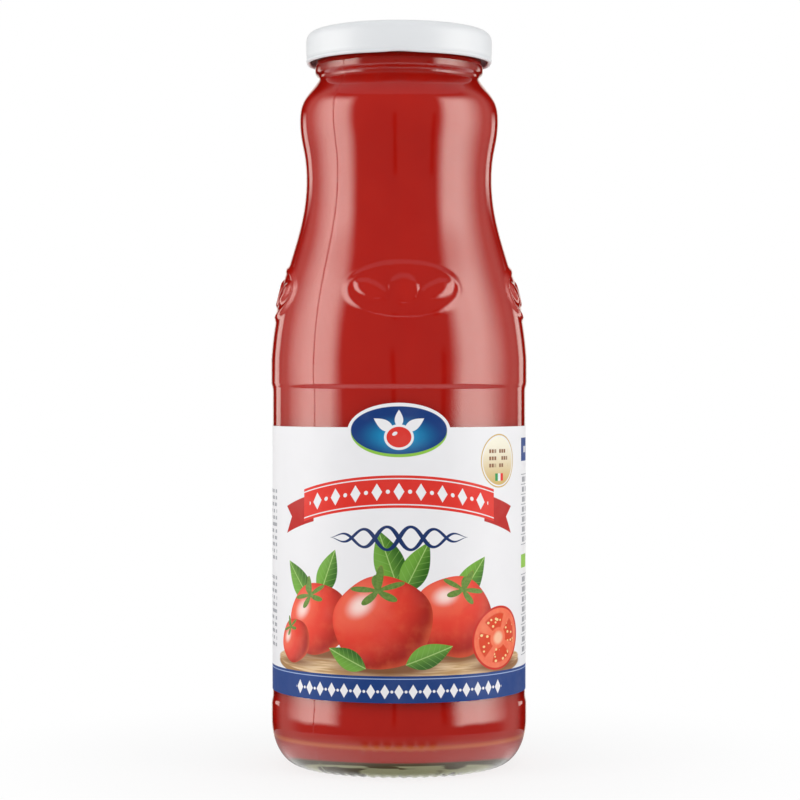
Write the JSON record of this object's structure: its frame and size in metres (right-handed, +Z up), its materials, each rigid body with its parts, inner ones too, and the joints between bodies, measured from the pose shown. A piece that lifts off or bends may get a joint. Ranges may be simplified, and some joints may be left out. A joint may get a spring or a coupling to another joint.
{
  "type": "passata bottle",
  "caption": "Glass bottle of sieved tomatoes with a waisted neck, a white twist-off metal lid and a paper label wrapped round its recessed body.",
  "frame": {"origin": "centre of the base, on the surface the bottle stands on", "axes": "+Z up along the bottle's axis, -Y the front of the label, +X to the right seen from the front"},
  "size_m": [0.0776, 0.0776, 0.222],
  "materials": {
    "glass": "clear flint glass with a faint green cast, smooth, with mould seams and a knurled bearing ring",
    "passata": "smooth deep red tomato, wet against the glass",
    "lid_enamel": "white gloss enamel on pressed tinplate",
    "label_paper": "coated white paper with printed fields of colour, satin"
  },
  "bodies": {
    "root": {"glass_bottle": "glass", "passata": "passata", "lid": "lid_enamel", "label": "label_paper"}
  },
  "joints": []
}
